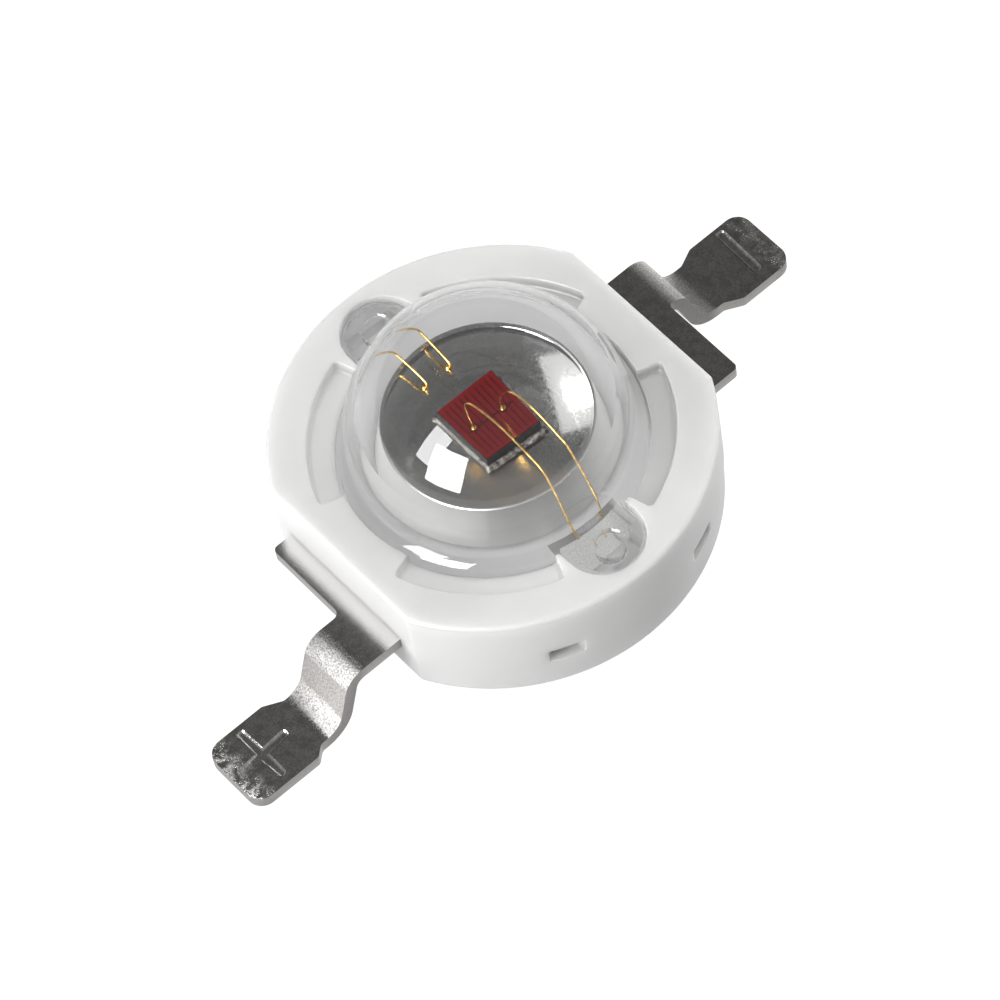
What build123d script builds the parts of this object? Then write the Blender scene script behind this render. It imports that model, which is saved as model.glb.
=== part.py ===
from build123d import *
import math
import os

os.makedirs("parts", exist_ok=True)

# High power light emitting diode in an emitter package. Sizes in millimetres.
# z = 0 is the board plane, under the slug and both feet. +X runs to the anode foot,
# +Y to the gel port above the bond window of the chip wires.

# Lens: dome on a flange, two ears with gel ports
dome_radius = 2.58
dome_lift = 0.61
flange_ledge = 0.17
flange_height = 0.47
flange_round = 0.16
cavity_radius = 1.70
cavity_cone_lift = 0.19
cavity_flare_radius = 2.10
cavity_flare_lift = 0.35
cavity_mouth_radius = 2.15
ear_radius = 0.71
ear_offset = 0.22
ear_height = 0.39
ear_overlap = 0.35
port_radius = 0.28
port_offset = 0.16

# Housing: white plastic moulded round the leads and the slug
lens_clearance = 0.05
pocket_width = 0.47
pocket_depth = 0.25
pocket_angle = 54.5
pocket_count = 4
pocket_start_angle = 45.0
pocket_corner_round = 0.10
pocket_floor_round = 0.08
rim_wall = 0.73
flat_depth = 0.45
housing_bottom = 0.40
well_floor = 2.10
well_depth = 0.45
housing_top_round = 0.08
housing_bottom_round = 0.05
housing_corner_round = 0.12
parting_step = 0.02
wall_draft = 1.4

# Bond windows in the well floor, one above each lead, opening under the lens cavity
window_half_width = 0.70
window_overlap = 0.27
window_margin = 0.03
channel_half_width = 0.52
channel_margin = 0.02
window_round = 0.08

# Leads: blanked from one strip and bent down to the board
lead_thickness = 0.25
lead_underside = 1.22
slug_gap = 0.36
lead_rim_cover = 1.0
lead_split_far = 1.02
lead_split_gap = 0.30
tab_root = 2.0
tab_half_width = 1.49
strip_width = 1.13
anode_wing_reach = 0.43
cathode_wing_reach = 0.86
anode_notch_round = 0.15
cathode_notch_round = 0.08
wing_corner_round = 0.10
bend_offset = 0.87
bend_angle = 72.0
first_bend_inner = 0.20
second_bend_inner = 0.45
foot_length = 1.68
foot_flare_inner = 0.185
foot_flare_outer = 0.165
flare_offset = 0.10
flare_length = 0.32
flare_round = 0.15
foot_corner_round = 0.30

# Tie bars, sheared off inside small pockets of the housing wall
tie_bar_x = 1.58
tie_bar_width = 0.35
tie_bar_root = 2.0
tie_bar_stub = 0.06
tie_pocket_width = 0.60
tie_pocket_depth = 0.30
tie_pocket_below = 0.09
tie_pocket_above = 0.04

# Heat slug
slug_base_radius = 2.75
slug_base_height = 0.55
slug_step_radius = 2.25
slug_step_height = 0.25
slug_base_round = 0.06
stem_radius = 1.39
stem_lift = 0.69
dish_lip = 0.06
dish_depth = 0.10
rim_round = 0.02

# Die stack
die_width = 0.88
die_length = 1.00
die_x = -0.04
die_y = -0.04
die_turn = -2.0
attach_thickness = 0.02
attach_margin = 0.13
attach_height = 0.06
attach_collar = 0.02
substrate_height = 0.17
emitter_height = 0.02
emitter_inset = 0.01
contact_height = 0.01
contact_pad_radius = 0.055
finger_count = 10
finger_pitch = 0.08
finger_width = 0.012
finger_inset = 0.05
bus_width = 0.02
bus_y = 0.03

# Bond wires
wire_radius = 0.015
ball_radius = 0.040
ball_height = 0.030
wire_cover = 0.14
stitch_length = 0.14
stitch_width = 0.07
stitch_height = 0.016
pad_bend_radius = 0.10
shoulder_bend_radius = 0.22

# Chip wires: bond and pad in plan, corners as run and rise from the bond
right_bond = (0.215, -0.034)
right_pad = (0.105, 2.35)
right_corners = ((-0.135, 0.44), (0.06, 0.65), (0.63, 0.70))
right_bends = (0.10, 0.20, 0.60)
right_shoulder_angle = 22.7
left_bond = (-0.243, 0.003)
left_pad = (-0.46, 2.33)
left_corners = ((-0.045, 0.20), (0.30, 0.83), (0.66, 0.85))
left_bends = (0.20, 0.25, 0.40)
left_shoulder_angle = 27.2

# Slug wires: the same, with the shoulder set off the rim of the stem
slug_bond_y = -0.98
outer_slug_wire_x = -0.21
outer_slug_pad = (-0.25, -2.45)
inner_slug_wire_x = 0.17
inner_slug_pad = (0.21, -2.45)
slug_corners = ((-0.05, 0.14), (0.03, 0.18))
slug_bends = (0.03, 0.10)
rim_clear_out = 0.13
rim_clear_up = 0.11
slug_shoulder_bend = 0.16

# Gel level below the top of the ears
port_gel_sink = 0.06

# Heights that follow
housing_top = well_floor + well_depth
lens_centre = well_floor + dome_lift
dome_top = lens_centre + dome_radius
cavity_top = lens_centre + cavity_radius
flange_top = well_floor + flange_height
lead_top = lead_underside + lead_thickness
slug_top = well_floor + stem_lift
dish_floor = slug_top - dish_depth
die_base = dish_floor + attach_thickness
emitter_base = die_base + substrate_height
emitter_top = emitter_base + emitter_height
contact_top = emitter_top + contact_height

# Radii and plan positions that follow
flange_radius = dome_radius + flange_ledge
well_radius = flange_radius + lens_clearance
pocket_outer_radius = well_radius + pocket_width
housing_radius = pocket_outer_radius + rim_wall
flat_x = housing_radius - flat_depth
ear_y = flange_radius + ear_offset
scallop_radius = ear_radius + lens_clearance
port_y = ear_y + port_offset
window_start = cavity_mouth_radius - window_overlap
window_end = ear_y + window_margin
channel_end = port_y + port_radius + channel_margin
ring_inner = stem_radius + slug_gap
ring_outer = housing_radius - lead_rim_cover
dish_radius = stem_radius - dish_lip
tie_wall_y = math.sqrt(housing_radius**2 - tie_bar_x**2)
tie_pocket_back = tie_wall_y - tie_pocket_depth
tie_bar_end = tie_pocket_back + tie_bar_stub
cavity_cone_radius = math.sqrt(cavity_radius**2 - cavity_cone_lift**2)

# Lead bend that follows
bend_start = flat_x + bend_offset
bend_radians = math.radians(bend_angle)
first_bend_outer = first_bend_inner + lead_thickness
second_bend_outer = second_bend_inner + lead_thickness
bend_radii = first_bend_inner + second_bend_outer
slope_drop = lead_underside - bend_radii * (1 - math.cos(bend_radians))
slope_length = slope_drop / math.sin(bend_radians)
bend_reach = bend_radii * math.sin(bend_radians) + slope_length * math.cos(bend_radians)
foot_start = bend_start + bend_reach
foot_end = foot_start + foot_length
strip_outer_y = tab_half_width
strip_inner_y = tab_half_width - strip_width
flare_start = foot_start + flare_offset
flare_end = flare_start + flare_length

# Heat slug: stepped base, stem and shallow dish for the die
with BuildPart() as heat_slug:
    with BuildSketch(Plane.XZ):
        with BuildLine():
            Polyline(
                (0, 0),
                (slug_base_radius, 0),
                (slug_base_radius, slug_base_height),
                (slug_step_radius, slug_base_height),
                (slug_step_radius, slug_base_height + slug_step_height),
                (stem_radius, slug_base_height + slug_step_height),
                (stem_radius, slug_top),
                (dish_radius, slug_top),
                (dish_radius, dish_floor),
                (0, dish_floor),
                close=True,
            )
        make_face()
    revolve(axis=Axis.Z)
    rim_edges = heat_slug.edges().group_by(Axis.Z)[-1]
    fillet(rim_edges, radius=rim_round)
    base_edges = heat_slug.edges().group_by(Axis.Z)[0]
    fillet(base_edges, radius=slug_base_round)

heat_slug.part.label = "heat_slug"
export_step(heat_slug.part, "parts/heat_slug.step")

# Leads: side profile of the strip, trimmed to its plan outline
lead_parts = {}
lead_sizes = (
    ("anode_lead", 1, anode_wing_reach, anode_notch_round),
    ("cathode_lead", -1, cathode_wing_reach, cathode_notch_round),
)
for lead_name, heading, wing_reach, notch_round in lead_sizes:
    side_plane = Plane(origin=(0, 0, 0), x_dir=(heading, 0, 0), z_dir=(0, -heading, 0))
    plan_plane = Plane(origin=(0, 0, 0), x_dir=(heading, 0, 0), z_dir=(0, 0, 1))
    wing_x = flat_x + wing_reach
    with BuildPart() as lead:
        with BuildSketch(side_plane):
            with BuildLine():
                top_flat = Line((-ring_outer, lead_top), (bend_start, lead_top))
                top_first = JernArc(top_flat @ 1, top_flat % 1, first_bend_outer, -bend_angle)
                top_slope = PolarLine(top_first @ 1, slope_length, -bend_angle)
                top_second = JernArc(top_slope @ 1, top_slope % 1, second_bend_inner, bend_angle)
                foot_upper = Line(top_second @ 1, (foot_end, lead_thickness))
                foot_edge = Line(foot_upper @ 1, (foot_end, 0))
                foot_lower = Line(foot_edge @ 1, (foot_start, 0))
                low_second = JernArc(foot_lower @ 1, (-1, 0), second_bend_outer, -bend_angle)
                low_slope = PolarLine(low_second @ 1, slope_length, 180 - bend_angle)
                low_first = JernArc(low_slope @ 1, low_slope % 1, first_bend_inner, bend_angle)
                low_flat = Line(low_first @ 1, (-ring_outer, lead_underside))
                Line(low_flat @ 1, top_flat @ 0)
            make_face()
        extrude(amount=housing_radius, both=True)
        with BuildSketch(plan_plane):
            Circle(ring_outer)
            Circle(ring_inner, mode=Mode.SUBTRACT)
            with Locations((lead_split_gap - lead_split_far, 0)):
                Rectangle(
                    2 * housing_radius,
                    2 * housing_radius,
                    align=(Align.MAX, Align.MIN),
                    mode=Mode.SUBTRACT,
                )
            with Locations((lead_split_far, 0)):
                Rectangle(
                    2 * housing_radius,
                    2 * housing_radius,
                    align=(Align.MAX, Align.MAX),
                    mode=Mode.SUBTRACT,
                )
            with BuildLine():
                FilletPolyline(
                    (tab_root, strip_outer_y),
                    (flare_start, strip_outer_y),
                    (flare_end, strip_outer_y + foot_flare_outer),
                    (foot_end, strip_outer_y + foot_flare_outer),
                    (foot_end, strip_inner_y - foot_flare_inner),
                    (flare_end, strip_inner_y - foot_flare_inner),
                    (flare_start, strip_inner_y),
                    (wing_x, strip_inner_y),
                    (wing_x, -tab_half_width),
                    (tab_root, -tab_half_width),
                    radius=(
                        0,
                        flare_round,
                        flare_round,
                        foot_corner_round,
                        foot_corner_round,
                        flare_round,
                        flare_round,
                        notch_round,
                        wing_corner_round,
                        0,
                    ),
                    close=True,
                )
            make_face()
            with Locations((tie_bar_x, tie_bar_root)):
                Rectangle(
                    tie_bar_width,
                    tie_bar_end - tie_bar_root,
                    align=(Align.CENTER, Align.MIN),
                )
            with Locations((tie_bar_x, -tie_bar_root)):
                Rectangle(
                    tie_bar_width,
                    tie_bar_end - tie_bar_root,
                    align=(Align.CENTER, Align.MAX),
                )
        extrude(amount=housing_top, mode=Mode.INTERSECT)
    lead.part.label = lead_name
    lead_parts[lead_name] = lead.part
    export_step(lead.part, "parts/" + lead_name + ".step")

# Housing: two half moulds meet at the underside of the leads
with BuildPart() as housing:
    with BuildSketch(Plane.XY.offset(lead_underside)) as body_plan:
        Circle(housing_radius)
        Rectangle(2 * flat_x, 2 * housing_radius, mode=Mode.INTERSECT)
        fillet(body_plan.vertices(), radius=housing_corner_round)
    extrude(amount=housing_top - lead_underside)
    top_edges = housing.edges().group_by(Axis.Z)[-1]
    fillet(top_edges, radius=housing_top_round)
    with BuildSketch(Plane.XY.offset(lead_underside)) as skirt_plan:
        Circle(housing_radius - parting_step)
        Rectangle(
            2 * (flat_x - parting_step),
            2 * housing_radius,
            mode=Mode.INTERSECT,
        )
        fillet(skirt_plan.vertices(), radius=housing_corner_round)
    extrude(amount=housing_bottom - lead_underside, taper=wall_draft)
    bottom_edges = housing.edges().group_by(Axis.Z)[0]
    fillet(bottom_edges, radius=housing_bottom_round)

    # Arc pockets, cut before the well so that their floor round runs out into it
    with BuildSketch(Plane.XY.offset(housing_top)) as pocket_plan:
        half_span = math.tan(math.radians(pocket_angle / 2)) * housing_radius
        with PolarLocations(0, pocket_count, start_angle=pocket_start_angle):
            Polygon(
                (0, 0),
                (housing_radius, -half_span),
                (housing_radius, half_span),
                align=None,
            )
        Circle(pocket_outer_radius, mode=Mode.INTERSECT)
        Circle(dome_radius, mode=Mode.SUBTRACT)
        outer_corners = pocket_plan.vertices().filter_by(
            lambda v: math.hypot(v.X, v.Y) > well_radius
        )
        fillet(outer_corners, radius=pocket_corner_round)
    extrude(amount=-pocket_depth, mode=Mode.SUBTRACT)
    pocket_floor_edges = housing.edges().filter_by_position(
        Axis.Z, housing_top - pocket_depth, housing_top - pocket_depth
    )
    fillet(pocket_floor_edges, radius=pocket_floor_round)

    # Lens well with its ear scallops
    with BuildSketch(Plane.XY.offset(housing_top)):
        Circle(well_radius)
        Rectangle(2 * scallop_radius, 2 * ear_y)
        with Locations((0, ear_y), (0, -ear_y)):
            Circle(scallop_radius)
    extrude(amount=-well_depth, mode=Mode.SUBTRACT)

    # Bond windows and gel channels
    with BuildSketch(Plane.XY.offset(well_floor)) as window_plan:
        with Locations((0, window_start)):
            Rectangle(
                2 * window_half_width,
                window_end - window_start,
                align=(Align.CENTER, Align.MIN),
            )
        with Locations((0, window_start)):
            Rectangle(
                2 * channel_half_width,
                channel_end - window_start,
                align=(Align.CENTER, Align.MIN),
            )
        fillet(window_plan.vertices(), radius=window_round)
        mirror(about=Plane.XZ)
    extrude(amount=lead_top - well_floor, mode=Mode.SUBTRACT)

    # Tie bar pockets
    with BuildSketch(Plane.XY.offset(lead_underside - tie_pocket_below)):
        with GridLocations(2 * tie_bar_x, 2 * tie_wall_y, 2, 2):
            Rectangle(tie_pocket_width, 2 * tie_pocket_depth)
    extrude(
        amount=lead_thickness + tie_pocket_below + tie_pocket_above,
        mode=Mode.SUBTRACT,
    )
    add(heat_slug.part, mode=Mode.SUBTRACT)
    add(lead_parts["anode_lead"], mode=Mode.SUBTRACT)
    add(lead_parts["cathode_lead"], mode=Mode.SUBTRACT)

housing.part.label = "housing"
export_step(housing.part, "parts/housing.step")

# Lens
with BuildPart() as lens:
    with BuildSketch(Plane.XZ) as lens_profile:
        with BuildLine():
            seat_line = Line((cavity_mouth_radius, well_floor), (flange_radius, well_floor))
            flange_wall = Line(seat_line @ 1, (flange_radius, flange_top))
            ledge_line = Line(flange_wall @ 1, (dome_radius, flange_top))
            dome_skirt = Line(ledge_line @ 1, (dome_radius, lens_centre))
            dome_arc = RadiusArc(dome_skirt @ 1, (0, dome_top), -dome_radius)
            dome_axis = Line(dome_arc @ 1, (0, cavity_top))
            cavity_arc = RadiusArc(
                dome_axis @ 1,
                (cavity_cone_radius, lens_centre + cavity_cone_lift),
                cavity_radius,
            )
            cavity_cone = Line(
                cavity_arc @ 1,
                (cavity_flare_radius, well_floor + cavity_flare_lift),
            )
            Line(cavity_cone @ 1, seat_line @ 0)
        make_face()
        flange_corner = lens_profile.vertices().sort_by_distance((flange_radius, flange_top))[0]
        fillet(flange_corner, radius=flange_round)
    revolve(axis=Axis.Z)
    with BuildSketch(Plane.XY.offset(well_floor)) as ear_plan:
        with Locations((0, ear_y)):
            Circle(ear_radius)
            Rectangle(
                2 * ear_radius,
                ear_offset + ear_overlap,
                align=(Align.CENTER, Align.MAX),
            )
        with Locations((0, port_y)):
            Circle(port_radius, mode=Mode.SUBTRACT)
        mirror(about=Plane.XZ)
    extrude(amount=ear_height)

lens.part.label = "lens"
export_step(lens.part, "parts/lens.step")

# Die stack: silver epoxy, substrate, red emitting layer, top contacts
die_axis = (math.cos(math.radians(die_turn)), math.sin(math.radians(die_turn)), 0)
attach_plane = Plane(origin=(die_x, die_y, dish_floor), x_dir=die_axis)
die_plane = Plane(origin=(die_x, die_y, die_base), x_dir=die_axis)
emitter_plane = Plane(origin=(die_x, die_y, emitter_base), x_dir=die_axis)
contact_plane = Plane(origin=(die_x, die_y, emitter_top), x_dir=die_axis)

with BuildPart() as led_die:
    with BuildSketch(die_plane):
        Rectangle(die_width, die_length)
    extrude(amount=substrate_height)

led_die.part.label = "led_die"
export_step(led_die.part, "parts/led_die.step")

with BuildPart() as die_attach:
    with BuildSketch(attach_plane) as attach_plan:
        Rectangle(die_width + 2 * attach_margin, die_length + 2 * attach_margin)
        fillet(attach_plan.vertices(), radius=attach_margin)
    with BuildSketch(attach_plane.offset(attach_height)) as collar_plan:
        Rectangle(die_width + 2 * attach_collar, die_length + 2 * attach_collar)
        fillet(collar_plan.vertices(), radius=attach_collar)
    loft()
    add(led_die.part, mode=Mode.SUBTRACT)

die_attach.part.label = "die_attach"
export_step(die_attach.part, "parts/die_attach.step")

with BuildPart() as emitter_layer:
    with BuildSketch(emitter_plane):
        Rectangle(die_width - 2 * emitter_inset, die_length - 2 * emitter_inset)
    extrude(amount=emitter_height)

emitter_layer.part.label = "emitter_layer"
export_step(emitter_layer.part, "parts/emitter_layer.step")

with BuildPart() as die_contacts:
    with BuildSketch(contact_plane):
        with GridLocations(finger_pitch, 0, finger_count, 1):
            Rectangle(finger_width, die_length - 2 * (emitter_inset + finger_inset))
        with Locations((0, bus_y)):
            Rectangle((finger_count - 1) * finger_pitch + finger_width, bus_width)
    extrude(amount=contact_height)
    with BuildSketch(Plane.XY.offset(emitter_top)):
        with Locations(right_bond, left_bond):
            Circle(contact_pad_radius)
    extrude(amount=contact_height)

die_contacts.part.label = "die_contacts"
export_step(die_contacts.part, "parts/die_contacts.step")

# Bond wires, each in the upright plane through its bond and its pad
shoulder_radius = cavity_radius - wire_cover
chip_wires = (
    ("right_bond_wire", right_bond, right_pad, right_corners, right_bends, right_shoulder_angle),
    ("left_bond_wire", left_bond, left_pad, left_corners, left_bends, left_shoulder_angle),
)
wire_routes = []
for wire_name, bond, pad, corners, bends, shoulder_angle in chip_wires:
    shoulder_run = shoulder_radius * math.cos(math.radians(shoulder_angle))
    shoulder_rise = lens_centre + shoulder_radius * math.sin(math.radians(shoulder_angle))
    shoulder = (shoulder_run - bond[1], shoulder_rise - contact_top)
    wire_bends = bends + (shoulder_bend_radius, pad_bend_radius)
    wire_routes.append((wire_name, bond, contact_top, pad, corners + (shoulder,), wire_bends))

slug_wires = (
    ("outer_slug_wire", outer_slug_wire_x, outer_slug_pad),
    ("inner_slug_wire", inner_slug_wire_x, inner_slug_pad),
)
for wire_name, bond_x, pad in slug_wires:
    shoulder = (
        stem_radius + rim_clear_out + slug_bond_y,
        slug_top + rim_clear_up - dish_floor,
    )
    wire_bends = slug_bends + (slug_shoulder_bend, pad_bend_radius)
    bond = (bond_x, slug_bond_y)
    wire_routes.append((wire_name, bond, dish_floor, pad, slug_corners + (shoulder,), wire_bends))

wire_parts = {}
for wire_name, bond, bond_height, pad, corners, wire_bends in wire_routes:
    run_length = math.dist(bond, pad)
    run_x = (pad[0] - bond[0]) / run_length
    run_y = (pad[1] - bond[1]) / run_length
    run_plane = Plane(
        origin=(bond[0], bond[1], bond_height),
        x_dir=(run_x, run_y, 0),
        z_dir=(run_y, -run_x, 0),
    )
    pad_drop = lead_top + wire_radius - bond_height
    with BuildPart() as bond_wire:
        with BuildLine(run_plane) as route:
            FilletPolyline(
                (0, ball_height / 2),
                *corners,
                (run_length - stitch_length, pad_drop),
                (run_length, pad_drop),
                radius=wire_bends,
            )
        with BuildSketch(Plane(origin=route.line @ 0, z_dir=route.line % 0)):
            Circle(wire_radius)
        sweep()
        with BuildSketch(Plane.XY.offset(bond_height)):
            with Locations(bond):
                Circle(ball_radius)
        extrude(amount=ball_height)
        with BuildSketch(Plane(origin=(pad[0], pad[1], lead_top), x_dir=(run_x, run_y, 0))):
            Rectangle(stitch_length, stitch_width, align=(Align.MAX, Align.CENTER))
        extrude(amount=stitch_height)
    bond_wire.part.label = wire_name
    wire_parts[wire_name] = bond_wire.part
    export_step(bond_wire.part, "parts/" + wire_name + ".step")

# Silicone gel: fills the cavity, the windows and the ports round everything else
with BuildPart() as silicone_gel:
    with BuildSketch(Plane.XZ):
        with BuildLine():
            gel_base = Line((0, well_floor), (cavity_mouth_radius, well_floor))
            gel_skirt = Line(
                gel_base @ 1,
                (cavity_flare_radius, well_floor + cavity_flare_lift),
            )
            gel_cone = Line(
                gel_skirt @ 1,
                (cavity_cone_radius, lens_centre + cavity_cone_lift),
            )
            gel_arc = RadiusArc(gel_cone @ 1, (0, cavity_top), -cavity_radius)
            Line(gel_arc @ 1, gel_base @ 0)
        make_face()
    revolve(axis=Axis.Z)
    with BuildSketch(Plane.XY.offset(lead_top)):
        add(window_plan.sketch_local)
    extrude(amount=well_floor - lead_top)
    with BuildSketch(Plane.XY.offset(well_floor)):
        with Locations((0, port_y), (0, -port_y)):
            Circle(port_radius)
    extrude(amount=ear_height - port_gel_sink)
    add(heat_slug.part, mode=Mode.SUBTRACT)
    add(die_attach.part, mode=Mode.SUBTRACT)
    add(led_die.part, mode=Mode.SUBTRACT)
    add(emitter_layer.part, mode=Mode.SUBTRACT)
    add(die_contacts.part, mode=Mode.SUBTRACT)
    for wire_part in wire_parts.values():
        add(wire_part, mode=Mode.SUBTRACT)

silicone_gel.part.label = "silicone_gel"
export_step(silicone_gel.part, "parts/silicone_gel.step")
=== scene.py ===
import math
from functools import partial

import bmesh
import bpy
from mathutils import Matrix, Vector, noise


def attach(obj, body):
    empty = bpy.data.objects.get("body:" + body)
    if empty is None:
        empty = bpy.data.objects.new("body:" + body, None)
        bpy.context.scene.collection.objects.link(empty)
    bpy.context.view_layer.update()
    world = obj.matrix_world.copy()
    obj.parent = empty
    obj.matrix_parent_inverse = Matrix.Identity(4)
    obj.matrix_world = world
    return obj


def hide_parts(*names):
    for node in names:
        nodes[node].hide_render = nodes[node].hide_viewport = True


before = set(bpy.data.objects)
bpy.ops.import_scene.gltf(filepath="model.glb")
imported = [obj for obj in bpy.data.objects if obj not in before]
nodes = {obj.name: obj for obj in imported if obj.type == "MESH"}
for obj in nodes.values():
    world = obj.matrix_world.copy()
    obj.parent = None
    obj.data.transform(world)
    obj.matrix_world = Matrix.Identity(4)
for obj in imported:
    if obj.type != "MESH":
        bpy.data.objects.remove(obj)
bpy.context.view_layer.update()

scene = bpy.context.scene

# Housing sizes in millimetres. The main forms repeat the CAD source, fine rounds are added here.
HOUSING_TOP = 2.55
HOUSING_BOTTOM = 0.40
HOUSING_R = 4.0
FLAT_X = 3.55
CORNER_ROUND = 0.12
TOP_ROUND = 0.08
BOTTOM_ROUND = 0.05
BOTTOM_INSET = 0.04
PARTING = 1.22
CUT_BEYOND = 0.2
WELL_FLOOR = 2.10
WELL_R = 2.80
SCALLOP_R = 0.76
POCKET_R = 3.27
POCKET_START_R = 2.60
POCKET_HALF_ANGLE = 27.25
POCKET_DEPTH = 0.25
POCKET_CORNER_ROUND = 0.10
POCKET_FLOOR_ROUND = 0.08
LIP_ROUND = 0.03
TIE_BAR_X = 1.58
TIE_BAR_HALF = 0.175
TIE_BAR_ROOT = 2.0
TIE_BAR_END = 3.435
TIE_POCKET_HALF = 0.30
TIE_POCKET_LOW = 1.13
TIE_POCKET_HIGH = 1.51
TIE_POCKET_ROUND = 0.04
WINDOW_START = 1.88
WINDOW_HALF, WINDOW_REACH = 0.70, 3.0
CHANNEL_HALF, CHANNEL_REACH = 0.52, 3.43
WINDOW_ROUND = 0.08

# Lead sizes
LEAD_TOP = 1.47
LEAD_BOTTOM = 1.22
LEAD_THICK = 0.25
BEND_START = 4.42
BEND_ANGLE = 72.0
FIRST_BEND_R = 0.20
SECOND_BEND_R = 0.45
FOOT_END = 7.15
TAB_ROOT = 2.0
TAB_HALF = 1.49
STRIP_EDGE = 0.36
FOOT_EDGES = (0.175, 1.655)
RING_OUTER_R = 3.0
RING_INNER_R = 1.75
RING_START_X = -0.72
RING_END_X = 1.02
MARK_DEPTH = 0.05

# Slug sizes
SLUG_TOP = 2.79
DISH_FLOOR = 2.69
DISH_R = 1.33
RIM_ROUND = 0.035
STEM_R = 1.39
STEM_RING_Z = 2.0
SLUG_BASE_R = 2.75
SLUG_BASE_ROUND = 0.06
SLUG_BASE_TOP = 0.55
SLUG_STEP_R = 2.25
SLUG_STEP_TOP = 0.80

# Lens and gel sizes
LENS_CENTRE = 2.71
DOME_R = 2.58
DOME_FOOT_Z = 2.58
FLANGE_R = 2.75
FLANGE_TOP = 2.57
FLANGE_ROUND = 0.16
FLANGE_SLOPE = 0.155
FLANGE_BULGE = 0.012
CAVITY_R = 1.70
CAVITY_CONE = 0.19
FLARE_R = 2.10
FLARE_Z = 2.45
MOUTH_R = 2.15
SEAT_TOP = 2.405
SEAT_GAP = 0.004
EAR_Y = 2.97
EAR_R = 0.71
EAR_ROOT_Y = 2.4
EAR_TOP = 2.49
EAR_ROUND = 0.05
PORT_Y = 3.13
PORT_R = 0.28
OUTER_SLOT, INNER_SLOT, SEAT_SLOT = 0, 1, 2
LENS_IOR = 1.585
GEL_IOR = 1.41

# Epoxy and wire sizes
DIE_X = -0.04
DIE_Y = -0.04
DIE_TURN = -2.0
DIE_HALF_WIDTH = 0.44
DIE_HALF_LENGTH = 0.50
SKIRT_WIDTH = 0.128
SKIRT_HEIGHT = 0.06
BOND_Z = 2.912
WIRE_R = 0.015
BALL_R = 0.040
BALL_LIFT = 0.008
STITCH = (0.07, 0.036, 0.014)
STITCH_BACK = 0.05
STITCH_LIFT = 0.010
PAD_RUN = 0.13
PAD_RUN_Z = LEAD_TOP + 0.022
WIRE_END_Z = LEAD_TOP + 0.014
SLUG_BOND_Y = -0.98
SLUG_PAD_Y = -2.45


# Mesh helpers. Pieces are built in millimetres and scaled to metres at the end.
def arc(cx, cy, r, a0, a1, n):
    """n + 1 points on an arc, angles in degrees."""
    out = []
    for i in range(n + 1):
        a = math.radians(a0 + (a1 - a0) * i / n)
        out.append((cx + r * math.cos(a), cy + r * math.sin(a)))
    return out


def circle(cx, cy, r, n):
    """n points round a circle."""
    return arc(cx, cy, r, 0, 360, n)[:-1]


def quarter(n):
    """1 - cos and 1 - sin at n + 1 steps of a quarter turn, for rounded edges."""
    out = []
    for i in range(n + 1):
        a = math.radians(90.0 * i / n)
        out.append((1 - math.cos(a), 1 - math.sin(a)))
    return out


def turned(points, angle):
    """Points turned about the origin by degrees."""
    c, s = math.cos(math.radians(angle)), math.sin(math.radians(angle))
    return [(x * c - y * s, x * s + y * c) for x, y in points]


def rounded(points, radii, n):
    """Closed polygon with each corner rounded to its radius."""
    out = []
    count = len(points)
    for i in range(count):
        p = Vector(points[i])
        a = Vector(points[i - 1]) - p
        b = Vector(points[(i + 1) % count]) - p
        r = radii[i]
        if r <= 0:
            out.append(tuple(p))
            continue
        a.normalize()
        b.normalize()
        half = a.angle(b) / 2
        reach = r / math.tan(half)
        centre = p + (a + b).normalized() * (r / math.sin(half))
        s = p + a * reach - centre
        e = p + b * reach - centre
        turn = math.atan2(s.x * e.y - s.y * e.x, s.dot(e))
        for k in range(n + 1):
            c, d = math.cos(turn * k / n), math.sin(turn * k / n)
            out.append((centre.x + s.x * c - s.y * d, centre.y + s.x * d + s.y * c))
    return out


def skin(bm, rows, closed=False):
    """Faces from each row of points to the next, and over the ends unless the rows close up."""
    following = rows[1:] + rows[:1] if closed else rows[1:]
    for lower, upper in zip(rows, following):
        m = len(lower)
        for i in range(m):
            j = (i + 1) % m
            bm.faces.new((lower[i], lower[j], upper[j], upper[i]))
    if not closed:
        bm.faces.new(list(reversed(rows[0])))
        bm.faces.new(rows[-1])


def loft(loops, place=None):
    """Solid through equal loops of (x, y) at each z: [(z, points), ...]."""
    bm = bmesh.new()
    rows = []
    for z, pts in loops:
        row = []
        for x, y in pts:
            v = (x, y, z) if place is None else place(x, y, z)
            row.append(bm.verts.new(v))
        rows.append(row)
    skin(bm, rows)
    bmesh.ops.recalc_face_normals(bm, faces=bm.faces)
    return bm


def revolve(profile, segments, marks=None):
    """Solid of revolution from (r, z) points; marks holds the slot of each segment."""
    bm = bmesh.new()
    rows = []
    for r, z in profile:
        if r < 1e-7:
            rows.append([bm.verts.new((0, 0, z))])
            continue
        row = []
        for i in range(segments):
            a = 2 * math.pi * i / segments
            row.append(bm.verts.new((r * math.cos(a), r * math.sin(a), z)))
        rows.append(row)
    for k in range(len(rows)):
        a = rows[k]
        b = rows[(k + 1) % len(rows)]
        if len(a) == 1 and len(b) == 1:
            continue
        for i in range(segments):
            j = (i + 1) % segments
            if len(a) == 1:
                f = bm.faces.new((a[0], b[j], b[i]))
            elif len(b) == 1:
                f = bm.faces.new((a[i], a[j], b[0]))
            else:
                f = bm.faces.new((a[i], a[j], b[j], b[i]))
            f.material_index = marks[k] if marks else 0
    bmesh.ops.recalc_face_normals(bm, faces=bm.faces)
    return bm


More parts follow.
